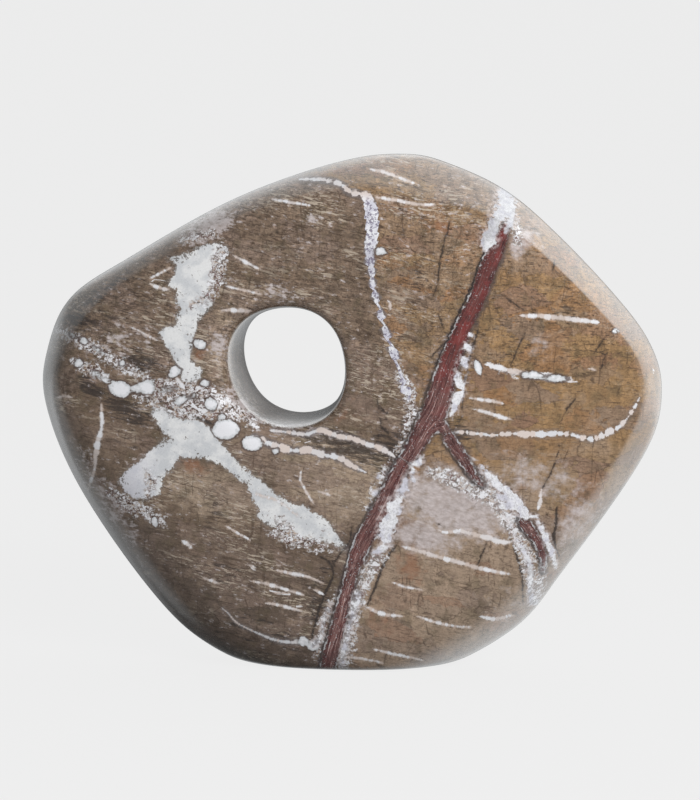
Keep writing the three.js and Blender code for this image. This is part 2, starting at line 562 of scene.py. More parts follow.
RED_VEINS = (
    Route(((507, 222, 3), (503, 234, 10), (497, 248, 15), (490, 264, 17), (483, 283, 16), (475, 303, 16),
           (465, 323, 16), (457, 345, 18), (448, 368, 21), (437, 406, 25), (427, 425, 22), (412, 451, 17),
           (401, 468, 15), (390, 490, 16), (380, 513, 19), (368, 533, 18), (359, 551, 16), (352, 572, 12),
           (346, 595, 13), (340, 620, 14), (333, 645, 15), (328, 668, 15), (324, 690, 15))),
    Route(((441, 422, 8), (448, 436, 11), (458, 451, 12), (466, 463, 10), (474, 476, 7), (484, 487, 3))),
    Route(((519, 519, 4), (527, 526, 11), (534, 535, 9), (540, 546, 8), (543, 558, 6), (543, 572, 3))),
)

CRYSTAL_VEINS = (
    Route(((503, 186, 6), (505, 196, 14), (505, 207, 18), (497, 219, 12), (492, 230, 9), (489, 241, 12),
           (484, 249, 5))),
    Route(((513, 208, 5), (510, 222, 6), (505, 234, 3))),
    Route(((472, 326, 2), (469, 342, 6), (466, 356, 8), (462, 372, 9.5), (459, 388, 9.5), (456, 404, 8),
           (453, 416, 7), (450, 430, 6))),
    Route(((424, 445, 2), (419, 460, 7), (413, 475, 9), (405, 488, 10), (397, 501, 11), (392, 513, 14),
           (387, 530, 14), (383, 546, 9), (373, 556, 5))),
    Route(((359, 590, 6), (356, 602, 8), (352, 615, 6), (348, 632, 5), (344, 650, 5), (340, 668, 4))),
    Route(((334, 597, 2), (329, 608, 4), (324, 620, 3.5), (321, 636, 4), (313, 645, 7))),
    Route(((477, 461, 3), (486, 471, 6), (497, 483, 7), (510, 496, 10), (520, 508, 11), (527, 517, 7))),
    Route(((494, 489, 4), (502, 503, 7), (509, 520, 4), (514, 536, 3.5), (522, 549, 4), (529, 561, 5),
           (531, 577, 5), (530, 592, 4), (535, 602, 9))),
    Route(((535, 514, 3), (541, 527, 5), (547, 541, 6), (553, 555, 5), (556, 568, 3))),
    Route(((383, 470, 4), (379, 482, 6), (374, 494, 4))),
)

SPECKLED = (
    Route(((396, 368, 4), (404, 382, 9), (411, 398, 14), (412, 416, 13), (405, 436, 10), (397, 456, 8),
           (386, 474, 11), (376, 492, 10), (366, 512, 6))),
    Route(((142, 468, 4), (152, 480, 9), (148, 494, 8))),
    Route(((390, 545, 8), (376, 560, 16), (366, 578, 16), (358, 598, 14), (354, 620, 11), (349, 645, 10),
           (344, 668, 10))),
    Route(((335, 595, 3), (327, 615, 6), (320, 640, 8), (314, 660, 6))),
    Route(((150, 384, 12), (172, 392, 26), (198, 400, 34), (222, 406, 24), (246, 416, 12))),
    Route(((222, 246, 8), (219, 262, 15), (217, 280, 13), (208, 298, 10), (190, 305, 7))),
    Route(((182, 240, 5), (198, 235, 9), (216, 233, 7))),
    Route(((110, 492, 8), (128, 505, 14), (150, 514, 10), (166, 524, 5))),
    Route(((266, 530, 5), (286, 536, 12), (308, 544, 12), (334, 548, 7))),
    Route(((274, 517, 6), (283, 523, 12), (292, 529, 7))),
    Route(((257, 506, 4), (267, 508, 5))),
    Route(((320, 526, 4), (329, 528, 5))),
    Route(((228, 400, 5), (240, 414, 9), (256, 426, 8))),
    Route(((499, 369, 3), (510, 373, 6), (520, 376, 4))),
    Route(((511, 212, 6), (517, 230, 11), (519, 248, 5))),
    Route(((52, 328, 5), (70, 336, 10), (92, 347, 11), (112, 358, 10), (134, 372, 10), (152, 382, 10))),
    Route(((72, 360, 7), (92, 371, 12), (108, 378, 8))),
    Route(((134, 396, 5), (150, 402, 7), (168, 408, 8), (190, 416, 8))),
    Route(((462, 452, 5), (476, 472, 9), (492, 494, 18), (508, 516, 20), (522, 545, 15), (531, 575, 13),
           (534, 600, 9))),
    Route(((537, 552, 4), (541, 566, 8), (540, 582, 10), (537, 598, 7))),
    Route(((428, 470, 10), (446, 476, 15), (464, 486, 16), (484, 497, 12))),
    Route(((236, 408, 5), (262, 420, 5), (292, 428, 4))),
)

BEAD_CHAINS = (
    Route(((300, 179, 3), (312, 179, 5), (331, 181, 6), (342, 185, 6), (350, 192, 7), (361, 194, 7),
           (368, 199, 10), (371, 210, 14), (372, 224, 16), (372, 238, 14), (370, 250, 12), (370, 262, 10),
           (372, 274, 8), (373, 287, 7), (376, 298, 8), (380, 311, 9), (384, 325, 9), (388, 338, 9.5),
           (394, 354, 9.5), (400, 370, 10), (405, 386, 10), (409, 400, 8))),
    Route(((452, 432, 4), (466, 432, 5), (482, 434, 5), (494, 435, 5), (510, 433, 5), (521, 434, 6),
           (538, 434, 9), (557, 433, 8), (572, 435, 5), (582, 437, 5), (591, 440, 5.5), (601, 436, 6.5),
           (608, 432, 9), (615, 429, 6), (621, 425, 5), (628, 417, 4), (634, 408, 4), (639, 398, 3))),
    Route(((254, 436, 6), (266, 442, 8), (277, 446, 8), (290, 450, 7), (310, 450, 7), (321, 454, 7),
           (333, 456, 7), (342, 459, 7), (350, 464, 6), (358, 469, 4), (366, 472, 2))),
    Route(((271, 430, 3), (289, 432, 4), (306, 434, 5), (321, 430, 5), (338, 436, 5.5), (352, 438, 5),
           (366, 444, 6), (379, 447, 6), (394, 456, 5))),
    Route(((221, 607, 1), (228, 613, 1.5), (236, 622, 2), (247, 628, 2), (258, 633, 2.5), (270, 638, 3.5),
           (279, 641, 4), (293, 642, 4.5), (303, 641, 6), (313, 645, 7))),
)

SHORT_VEINS = (
    (
        Route(((519, 315, 3), (541, 316, 4.5), (555, 317, 5), (573, 319, 5), (588, 321, 4), (598, 322, 3))),
        Route(((484, 364, 4), (496, 366.5, 5), (508, 370, 5), (518, 372, 5), (525, 373.5, 8), (536, 375, 9),
               (548, 376.5, 8), (558, 378, 8), (568, 379, 7), (571, 380, 5))),
        Route(((470, 408, 2), (489, 413, 3.5), (502, 417, 3.5), (514, 420, 2))),
        Route(((436, 529, 1.5), (448, 533, 3), (460, 530, 3.5), (472, 534, 4.5), (486, 537, 5),
               (502, 542, 4.5), (513, 541, 2))),
        Route(((401, 546, 3), (420, 551, 3.5), (439, 557, 4), (458, 562, 4), (476, 567, 4), (494, 571, 3.5),
               (510, 574, 1.5))),
        Route(((417, 616, 1.5), (439, 623, 3), (455, 626, 2.5), (471, 627, 1.5))),
        Route(((374, 649, 1.5), (395, 654, 2.5), (422, 660, 1.5))),
        Route(((225, 286, 1.5), (240, 289, 2), (261, 294, 1.5))),
        Route(((222, 310, 3), (236, 310, 4.5), (250, 311, 3))),
        Route(((226, 526, 1.5), (238, 533, 2.5), (252, 541, 1.5))),
        Route(((276, 570, 1.5), (290, 573, 3), (306, 576, 3), (324, 583, 1.5))),
        Route(((101, 404, 2), (102, 419, 3.5), (101, 430, 3), (98, 441, 6), (96, 452, 6), (95, 466, 3),
               (91, 480, 3), (88, 490, 2))),
        Route(((376, 197, 2), (396, 200, 3.5), (418, 204, 3), (434, 204, 1.5))),
        Route(((128, 326, 1), (140, 331, 1.5), (152, 338, 1.5), (162, 341, 1))),
        Route(((541, 492, 2), (540, 500, 4.5), (538, 508, 3))),
        Route(((183, 541, 3), (191, 547, 3.5))),
        Route(((56, 398, 1.5), (64, 396, 2.5), (72, 397, 1.5))),
    ),
    (
        Route(((470, 398, 2), (482, 399.5, 3), (494, 401, 3), (503, 403, 2))),
        Route(((480, 616, 2), (495, 619, 3.5), (512, 615, 2))),
        Route(((392, 582, 1.5), (407, 587, 2), (424, 590, 1.5))),
        Route(((367, 607, 3), (377, 612, 4), (388, 615, 3), (402, 616, 2))),
        Route(((341, 657, 2), (359, 658, 2.5), (383, 663, 1.5))),
        Route(((233, 255, 2), (246, 262, 3), (260, 269, 1.5))),
        Route(((151, 284, 3), (161, 288.5, 4), (169, 290, 2))),
        Route(((150, 278, 1.5), (160, 273, 2.5), (171, 267, 2))),
        Route(((204, 578, 2), (218, 583, 3))),
        Route(((253, 581, 2), (268, 584, 3.5), (282, 588, 3), (303, 595, 2))),
        Route(((266, 603, 2), (280, 605, 3), (301, 611, 2))),
        Route(((313, 589, 2), (323, 594, 2.5))),
        Route(((318, 491, 2), (331, 495, 2.5))),
        Route(((371, 169, 2), (384, 172, 3), (398, 177, 3), (414, 183, 2))),
        Route(((272, 199, 1.5), (290, 202, 2.5), (310, 205, 1.5))),
        Route(((246, 492, 1), (276, 500, 2), (300, 517, 1))),
        Route(((301, 470, 1), (300, 480, 2), (309, 496, 2), (316, 507, 1))),
        Route(((449, 440, 1.5), (458, 447, 2.5), (468, 456, 2.5), (478, 461, 1.5))),
        Route(((389, 298, 3), (390, 304, 4), (389, 308, 2))),
        Route(((172, 372, 3), (178, 380, 4), (184, 388, 3))),
        Route(((246, 564, 2), (254, 567, 3.5))),
        Route(((587, 368, 2), (597, 370, 3))),
    ),
)

DARK_CRACKS = (
    Route(((450, 222, 2), (446, 236, 3), (440, 262, 3), (438, 280, 3.5), (433, 296, 2))),
    Route(((438, 312, 2), (441, 322, 4), (446, 333, 3))),
    Route(((450, 339, 3), (440, 347, 4.5), (431, 357, 3))),
    Route(((504, 296, 2), (514, 303, 3), (524, 310, 1.5))),
    Route(((524, 334, 2.5), (517, 350, 2.5), (510, 367, 1.5))),
    Route(((607, 335, 1.5), (600, 344, 2.5), (593, 354, 1.5))),
    Route(((607, 352, 1.5), (601, 368, 2))),
    Route(((554, 262, 3), (553, 270, 2.5))),
    Route(((578, 394, 1.5), (571, 403, 2), (565, 413, 2), (560, 424, 1.5))),
    Route(((559, 445, 1.5), (556, 460, 2), (550, 474, 2), (542, 489, 1.5))),
    Route(((487, 541, 2), (482, 553, 2.5), (476, 570, 2))),
    Route(((377, 398, 2), (380, 420, 3), (378, 442, 2))),
    Route(((388, 404, 2), (386, 425, 3), (390, 440, 2))),
    Route(((436, 522, 2), (442, 525, 3.5))),
    Route(((396, 545, 4), (388, 556, 6), (380, 573, 6), (373, 592, 5), (367, 606, 3))),
    Route(((318, 556, 2), (330, 562, 4), (334, 574, 4), (326, 590, 5), (318, 612, 5), (311, 640, 4))),
    Route(((352, 528, 3), (350, 540, 4), (341, 552, 4), (334, 562, 3))),
    Route(((557, 508, 3), (556, 522, 6), (554, 540, 6), (559, 556, 3))),
    Route(((508, 530, 2), (516, 552, 4), (522, 575, 4), (523, 602, 2))),
    Route(((478, 330, 3), (473, 345, 5), (468, 365, 5), (464, 388, 4), (461, 415, 3), (458, 428, 2))),
    Route(((187, 320, 2), (203, 314, 2.5), (209, 306, 1.5))),
    Route(((166, 404, 3), (180, 411, 4), (196, 417, 4), (212, 424, 3), (222, 436, 2))),
    Route(((136, 394, 3), (148, 398, 4), (158, 402, 3), (168, 398, 2))),
)

PALE_PATCHES = (
    Patch(((199, 247), (207, 244), (222, 244), (229, 250), (225, 256), (221, 263), (217, 270), (214, 280),
           (210, 291), (210, 297), (214, 304), (206, 311), (198, 321), (196, 329), (193, 340), (191, 349),
           (191, 362), (202, 369), (201, 378), (190, 384), (182, 380), (180, 368), (173, 358), (169, 349),
           (163, 340), (158, 331), (168, 326), (177, 324), (177, 314), (183, 308), (175, 303), (177, 297),
           (180, 290), (170, 287), (168, 282), (174, 276), (176, 266), (169, 256), (180, 256))),
    Patch(((152, 406), (160, 404), (168, 411), (176, 417), (186, 420), (195, 418), (204, 423), (211, 429),
           (218, 439), (225, 447), (232, 456), (240, 464), (248, 470), (256, 477), (262, 481), (268, 487),
           (276, 494), (286, 501), (294, 505), (302, 504), (310, 511), (320, 515), (328, 522), (334, 529),
           (338, 536), (344, 544), (352, 553), (340, 548), (330, 542), (318, 541), (306, 541), (296, 537),
           (288, 532), (279, 527), (270, 526), (262, 522), (257, 516), (259, 508), (256, 502), (250, 497),
           (250, 488), (246, 484), (240, 480), (231, 473), (222, 465), (213, 461), (200, 457), (188, 458),
           (180, 455), (176, 463), (173, 471), (165, 473), (162, 483), (160, 492), (152, 497), (142, 500),
           (131, 497), (124, 490), (119, 482), (121, 476), (128, 469), (134, 463), (142, 460), (145, 454),
           (152, 451), (160, 442), (171, 440), (165, 433), (158, 424), (152, 414))),
)

BIG_BEADS = (
    Oval(120, 389, 11.5, 8.5, 20), Oval(146, 387, 8.2, 8), Oval(225.5, 429, 14, 10, -4),
    Oval(252, 443, 10.5, 7.5, 5), Oval(178.5, 401, 5.5, 5), Oval(175.5, 371, 6, 6),
    Oval(164, 391, 5, 4.5, 40),
    Oval(78.5, 363, 4.5, 4.5), Oval(121, 363, 3.5, 3.5), Oval(134, 370, 3, 3), Oval(200, 344, 6.5, 5, 20),
    Oval(380, 252, 7, 5), Oval(84, 341, 5, 3, 30),
    Oval(303, 641, 5.5, 4.5), Oval(313, 646, 6.5, 5, 10), Oval(275, 451, 4, 3), Oval(616, 331, 3, 2.5),
    Oval(172, 388, 4, 3), Oval(162, 378, 3.5, 3), Oval(205, 383, 5, 4), Oval(211, 404, 7, 6, 60),
    Oval(155, 522, 3, 5, -15), Oval(192, 396, 4, 3), Oval(96, 374, 5, 3.5, 30), Oval(106, 380, 3, 3),
    Oval(96, 349, 4, 2.5, 30), Oval(105, 354, 3, 2.5, 30), Oval(72, 335, 4, 2, 30), Oval(222, 417, 4, 3),
    Oval(477.6, 368, 9.5, 4.5, 85), Oval(531, 375, 9, 4.5, 5), Oval(556.5, 378, 11, 4.2, 4),
)

# Soft dark blots: most are real dark stains, but the blots at (84, 322) and (98, 295) are painted shade on
# the upper-left bevel, and the one at (262, 632) is painted shade on the bottom edge above the floor.
DARK_BLOTS_AND_PAINTED_SHADE = (
    Oval(129, 411, 32, 13, 28), Oval(91, 388, 20, 9, 30), Oval(142, 362, 28, 11, 24, 0.9),
    # Painted shade: the blots at (84, 322) and (98, 295) darken the upper-left bevel.
    Oval(84, 322, 26, 9, 10), Oval(98, 295, 40, 8, -38, 0.7), Oval(187, 386, 6, 7, 0, 1.0),
    Oval(225, 575, 50, 26, 20, 0.35), Oval(126, 436, 22, 10, 30, 0.5),
    Oval(345, 446, 52, 14, 17), Oval(392, 452, 24, 18, 60), Oval(404, 440, 12, 26, 24, 0.9),
    Oval(418, 288, 9, 34, 2, 0.6), Oval(196, 405, 34, 14, 12, 0.5), Oval(210, 510, 30, 40, 0, 0.35),
    Oval(320, 590, 16, 40, 18, 0.6), Oval(232, 460, 10, 6, 30, 0.5), Oval(150, 300, 40, 30, 20, 0.2),
    # Painted shade: the blot at (262, 632) darkens the bottom edge above the floor.
    Oval(120, 300, 24, 40, 45, 0.4), Oval(460, 432, 12, 20, -30, 0.8), Oval(262, 632, 60, 26, 15, 0.4),
)

PALE_BLOTS = (
    Oval(456, 505, 66, 38, 14), Oval(424, 536, 40, 20, 14, 0.9), Oval(210, 226, 30, 14, -28, 1.1),
    Oval(278, 292, 22, 12, 0, 0.5), Oval(219, 345, 11, 16, 0, 0.8), Oval(242, 406, 28, 10, 48, 0.8),
    Oval(545, 478, 60, 26, 20, 0.55), Oval(300, 428, 50, 8, 8, 0.5), Oval(112, 505, 60, 14, 58, 0.55),
    Oval(190, 400, 44, 14, 14, 0.7), Oval(575, 520, 40, 24, -50, 0.6),
    Oval(313, 220, 10, 8, 0, 0.5), Oval(304, 248, 9, 9, 0, 0.4),
    Oval(520, 240, 20, 22, 40, 0.7), Oval(500, 610, 40, 30, -30, 0.3),
    Oval(540, 345, 30, 20, 0, 0.35), Oval(120, 340, 18, 40, 80, 0.3), Oval(440, 215, 60, 20, 0, 0.2),
)

SUNNY_BLOTS = (
    Oval(335, 478, 66, 46, 15), Oval(290, 452, 56, 18, 14, 0.9), Oval(214, 494, 56, 28, 18, 0.95),
    Oval(222, 345, 22, 46, 0, 0.8), Oval(236, 300, 50, 18, 0, 0.5),
)

RUSTY_BLOTS = (
    Oval(410, 568, 16, 20, -20), Oval(196, 467, 18, 9, 10), Oval(440, 225, 20, 8, 5, 0.8),
    Oval(198, 352, 12, 12, 0, 0.7), Oval(178, 413, 12, 6, 20, 0.9), Oval(530, 527, 14, 10, 30, 0.8),
    Oval(180, 436, 20, 8, 10, 0.5), Oval(205, 415, 30, 8, 15, 0.6), Oval(378, 620, 20, 26, 0, 0.5),
    Oval(345, 410, 40, 30, 0, 0.35), Oval(300, 400, 60, 20, 10, 0.4),
)


class Markings:
    """Measures the markings at every corner of the stone and keeps them on its mesh.

    Attributes:
        thin_reach: Pixels from a thin vein's middle past which it isn't measured.
        nowhere: The half width that it is given there, in pixels.
        soft_edge: How far a blot fades past its edge, as a share of its size.
    """

    thin_reach: float = 8.0
    nowhere: float = -20.0
    soft_edge: float = 0.35

    def __init__(self, piece: bpy.types.Object, view: View) -> None:
        """Finds where each corner lies in the picture.

        Args:
            piece: The finished stone.
            view: The camera's view, in which the markings are laid out.
        """
        self.mesh = piece.data
        self.view = view
        points = np.empty(len(self.mesh.vertices) * 3)
        self.mesh.vertices.foreach_get("co", points)
        self.points = points.reshape(-1, 3)
        behind = np.clip(self.points[:, 1] / SHEETS.half_depth, 0, 1) ** SHEETS.curve
        self.behind = behind
        self.spots = view.to_picture(self.points) + behind[:, None] * np.array(SHEETS.lean)

    def keep(self, name: str, *parts: np.ndarray) -> None:
        """Stores three measures at every corner.

        Args:
            name: The attribute's name.
            parts: The three measures.
        """
        attribute = self.mesh.attributes.new(name, "FLOAT_VECTOR", "POINT")
        attribute.data.foreach_set("vector", np.stack(parts, axis=1).astype(np.float32).ravel())

    def build(self) -> None:
        """Measures and stores every kind of marking, in millimetres."""
        size = self.view.pixel * MM
        x, down = self.spots.T
        depth = self.points[:, 1] * MM
        self.keep("place", x * size, -down * size, depth)
        red = nearest_route(RED_VEINS, self.spots)
        right = self.right_of(RED_VEINS[0])
        slope = math.tan(math.radians(SHEETS.dip))
        flatter = slope - math.tan(math.radians(SHEETS.right_dip))
        upper = np.clip((SHEETS.right_to[0] - down) / SHEETS.right_to[1], 0, 1)
        level = slope * x - down - flatter * np.maximum(x - SHEETS.right_from, 0) * upper
        self.keep("beds", x * size, level * size, depth)
        middle = np.minimum(self.right_of(BEAD_CHAINS[0]), -right) - np.maximum(down - SHEETS.tan_to, 0)
        self.keep("zones", right * size, middle * size, down * size)
        self.keep("red", (red[1] - np.abs(red[0])) * size, red[0] * size, red[2])
        for name, routes in (("crystal", CRYSTAL_VEINS), ("speckle", SPECKLED)):
            across, half, along = nearest_route(routes, self.spots)
            self.keep(name, (half - np.abs(across)) * size, across * size, along)
        self.keep("chain", *self.thin(*nearest_route(BEAD_CHAINS, self.spots)))
        for number, routes in enumerate(SHORT_VEINS):
            across, half, along = nearest_route(routes, self.spots)
            self.keep(f"short_{number}", *self.thin(across, half, along))
        self.keep("crack", *self.thin(*nearest_route(DARK_CRACKS, self.spots)))
        pale = np.max([patch.inside(self.spots) for patch in PALE_PATCHES], axis=0)
        beads = np.max([bead.inside(self.spots) * bead.short for bead in BIG_BEADS], axis=0)
        patches = (pale - SHEETS.patch_loss * self.behind) * size
        self.keep("patch", patches, beads * size, self.blots(SUNNY_BLOTS))
        # The dark tone holds real dark stains and also painted shade on the upper-left bevel and the bottom
        # edge.
        self.keep("tone", *(self.blots(kind) for kind in (DARK_BLOTS_AND_PAINTED_SHADE, PALE_BLOTS, RUSTY_BLOTS)))

    def thin(self, across: np.ndarray, half: np.ndarray, along: np.ndarray) -> tuple[np.ndarray, ...]:
        """Puts a thin vein's measures in millimetres, and ends it well away from its middle.

        Args:
            across: Pixels across the vein.
            half: Its half width in pixels.
            along: How far along it is in half widths.

        Returns:
            The three measures to keep.
        """
        size = self.view.pixel * MM
        return across * size, np.where(np.abs(across) > self.thin_reach, self.nowhere, half) * size, along

    def right_of(self, route: Route) -> np.ndarray:
        """Measures how far each corner lies to the right of a vein that runs down.

        Args:
            route: The vein.

        Returns:
            Picture pixels, less than 0 to its left.
        """
        way = route.smoothed()
        order = np.argsort(way[:, 1])
        return self.spots[:, 0] - np.interp(self.spots[:, 1], way[order, 1], way[order, 0])

    def blots(self, kind: tuple[Oval, ...]) -> np.ndarray:
        """Adds up soft blots.

        Args:
            kind: The blots.

        Returns:
            From 0 away from them to about 1 in their middles.
        """
        layers = [blot.strength * np.clip(blot.inside(self.spots) + self.soft_edge, 0, 1) for blot in kind]
        return np.clip(np.max(layers, axis=0), 0, 1)


class CellMeasure(Enum):
    """What a pattern of cells is read for."""

    MIDDLE = "F1"
    EDGE = "DISTANCE_TO_EDGE"


class Graph:
    """Builds one material's nodes from short calls."""

    def __init__(self, name: str) -> None:
        """Starts an empty material.

        Args:
            name: The material's name.
        """
        self.material = bpy.data.materials.new(name)
        self.material.use_nodes = True
        self.nodes = self.material.node_tree.nodes
        self.shader = self.nodes["Principled BSDF"]

    def feed(self, socket: Socket, value: Value) -> None:
        """Sets or links one input.

        Args:
            socket: The input.
            value: Another node's output, or a constant.
        """
        if isinstance(value, bpy.types.NodeSocket):
            self.material.node_tree.links.new(value, socket)
        elif isinstance(value, tuple) and len(socket.default_value) == 4:
            socket.default_value = (*value, 1.0)
        else:
            socket.default_value = value

    def calc(self, operation: str, *values: Value) -> Socket:
        """Adds a Math node.

        Args:
            operation: Its operation.
            values: Its inputs.

        Returns:
            Its output.
        """
        node = self.nodes.new("ShaderNodeMath")
        node.operation = operation
        for socket, value in zip(node.inputs, values):
            self.feed(socket, value)
        return node.outputs[0]

    def measures(self, name: str) -> tuple[Socket, Socket, Socket]:
        """Reads the three measures of one attribute.

        Args:
            name: The attribute's name.

        Returns:
            The three outputs.
        """
        source = self.nodes.new("ShaderNodeAttribute")
        source.attribute_name = name
        return self.split(source.outputs["Vector"])

    def split(self, vector: Socket) -> tuple[Socket, Socket, Socket]:
        """Splits a vector into its three parts.

        Args:
            vector: The vector.

        Returns:
            The three parts.
        """
        node = self.nodes.new("ShaderNodeSeparateXYZ")
        self.feed(node.inputs[0], vector)
        return tuple(node.outputs)

    def join(self, parts: tuple[Value, Value, Value]) -> Socket:
        """Joins three values into one vector.

        Args:
            parts: The values.

        Returns:
            The vector.
        """
        node = self.nodes.new("ShaderNodeCombineXYZ")
        for socket, value in zip(node.inputs, parts):
            self.feed(socket, value)
        return node.outputs[0]

    def scaled(self, vector: Socket, scale: tuple[float, float, float], seed: float = 0.0) -> Socket:
        """Stretches a vector, and moves it so that patterns differ.

        Args:
            vector: The vector.
            scale: What each part is multiplied by.
            seed: What is then added to each part.

        Returns:
            The new vector.
        """
        node = self.nodes.new("ShaderNodeVectorMath")
        node.operation = "MULTIPLY_ADD"
        self.feed(node.inputs[0], vector)
        node.inputs[1].default_value = scale
        node.inputs[2].default_value = (seed, seed * 1.7, seed * 0.6)
        return node.outputs[0]

    def noise(self, vector: Socket, detail: float = 2.0, rough: float = 0.5, swirl: float = 0.0) -> Socket:
        """Adds a noise.

        Args:
            vector: Where it is read.
            detail: How many finer layers it has.
            rough: How strong these are.
            swirl: How far it is distorted.

        Returns:
            Values about 0.5.
        """
        node = self.nodes.new("ShaderNodeTexNoise")
        self.feed(node.inputs["Vector"], vector)
        node.inputs["Scale"].default_value = 1.0
        node.inputs["Detail"].default_value = detail
        node.inputs["Roughness"].default_value = rough
        node.inputs["Distortion"].default_value = swirl
        return node.outputs[0]

    def cells(self, vector: Socket, measure: CellMeasure = CellMeasure.MIDDLE) -> bpy.types.Node:
        """Adds a pattern of uneven cells.

        Args:
            vector: Where it is read.
            measure: What it is read for.

        Returns:
            The node.
        """
        node = self.nodes.new("ShaderNodeTexVoronoi")
        node.feature = measure.value
        self.feed(node.inputs["Vector"], vector)
        node.inputs["Scale"].default_value = 1.0
        node.inputs["Randomness"].default_value = 1.0
        return node

    def rise(self, value: Value, low: float, high: float) -> Socket:
        """Turns a value into a soft step.

        Args:
            value: The value.
            low: Where the step gives 0.
            high: Where it gives 1, which may be below low.

        Returns:
            0 to 1.
        """
        node = self.nodes.new("ShaderNodeMapRange")
        node.interpolation_type = "SMOOTHSTEP"
        self.feed(node.inputs["Value"], value)
        node.inputs["From Min"].default_value = min(low, high)
        node.inputs["From Max"].default_value = max(low, high)
        node.inputs["To Min"].default_value = 0.0 if low < high else 1.0
        node.inputs["To Max"].default_value = 1.0 if low < high else 0.0
        return node.outputs["Result"]

    def times(self, *values: Value) -> Socket:
        """Multiplies values together.

        Args:
            values: The values.

        Returns:
            Their product.
        """
        product = values[0]
        for value in values[1:]:
            product = self.calc("MULTIPLY", product, value)
        return product

    def wobble(self, value: Value, noise: Socket, reach: float) -> Socket:
        """Moves a value up and down by a noise.

        Args:
            value: The value.
            noise: The noise, about 0.5.
            reach: How far it moves the value at most.

        Returns:
            The moved value.
        """
        return self.calc("ADD", value, self.calc("MULTIPLY_ADD", noise, 2 * reach, -reach))

    def mix(self, share: Value, first: Value, second: Value) -> Socket:
        """Mixes two colours.

        Args:
            share: The second colour's share.
            first: The first colour.
            second: The second colour.

        Returns:
            The mixed colour.
        """
        node = self.nodes.new("ShaderNodeMix")
        node.data_type = "RGBA"
        self.feed(node.inputs["Factor"], share)
        self.feed(next(s for s in node.inputs if s.identifier == "A_Color"), first)
        self.feed(next(s for s in node.inputs if s.identifier == "B_Color"), second)
        return next(s for s in node.outputs if s.identifier == "Result_Color")

    def shade(self, colour: Socket, strength: Value) -> Socket:
        """Makes a colour lighter or darker.

        Args:
            colour: The colour.
            strength: What it is multiplied by.

        Returns:
            The new colour.
        """
        node = self.nodes.new("ShaderNodeVectorMath")
        node.operation = "SCALE"
        self.feed(node.inputs[0], colour)
        self.feed(node.inputs["Scale"], strength)
        return node.outputs[0]


@dataclass(frozen=True)
class MarbleColours:
    """The stone's colours, as a picture shows them under even light."""

    taupe: Colour = srgb(120, 101, 85)
    umber: Colour = srgb(104, 88, 76)
    tan: Colour = srgb(148, 120, 90)
    ochre: Colour = srgb(154, 122, 86)
    fawn: Colour = srgb(162, 140, 120)
    sand: Colour = srgb(172, 152, 132)
    olive: Colour = srgb(98, 86, 64)
    rust: Colour = srgb(148, 96, 66)
    straw: Colour = srgb(205, 190, 172)
    mauve: Colour = srgb(136, 116, 104)
    ink: Colour = srgb(44, 37, 36)
    bark: Colour = srgb(74, 57, 44)
    plum: Colour = srgb(100, 84, 84)
    smoke: Colour = srgb(126, 120, 116)
    dove: Colour = srgb(170, 158, 154)
    haze: Colour = srgb(222, 212, 212)
    violet: Colour = srgb(118, 108, 130)
    maroon: Colour = srgb(112, 56, 52)
    clay: Colour = srgb(120, 86, 82)
    crimson: Colour = srgb(134, 56, 54)
    wine: Colour = srgb(76, 42, 42)
    rose: Colour = srgb(190, 148, 140)
    blush: Colour = srgb(198, 176, 160)
    shell: Colour = srgb(226, 212, 205)
    bone: Colour = srgb(240, 240, 240)
    ash: Colour = srgb(214, 216, 219)
    milk: Colour = srgb(244, 244, 248)
    pearl: Colour = srgb(216, 215, 226)


@dataclass(frozen=True)
class Changes:
    """Where the markings change, in millimetres down the picture.

    Each pair says where a change begins and where it is complete, going down unless it says upwards.

    Attributes:
        lively: The ground's grains stand out more, upwards.
        umber: The ground left of the red vein darkens.
        fawn: The ground right of it pales.
        joined: The beads of the chains run together.
        swollen: The necks between them swell, upwards.
        violet_top: The chains turn cool and violet.
        violet_foot: They turn cool and violet, upwards.
        brown: The red veins turn brown.
        painted_top_shade: The crystal is painted darker, upwards, as painted shade against the brighter light
            at the top.
        mottled: The crystal turns mottled.
        pearly: Across the picture instead, the pale patches turn pearly to the left.
    """

    lively: tuple[float, float] = (205, 155)
    umber: tuple[float, float] = (235, 290)
    fawn: tuple[float, float] = (200, 260)
    joined: tuple[float, float] = (94, 100)
    swollen: tuple[float, float] = (142, 125)
    violet_top: tuple[float, float] = (93, 99)
    violet_foot: tuple[float, float] = (205, 198)
    brown: tuple[float, float] = (165, 205)
    painted_top_shade: tuple[float, float] = (128, 110)
    mottled: tuple[float, float] = (268, 290)
    pearly: tuple[float, float] = (82, 62)


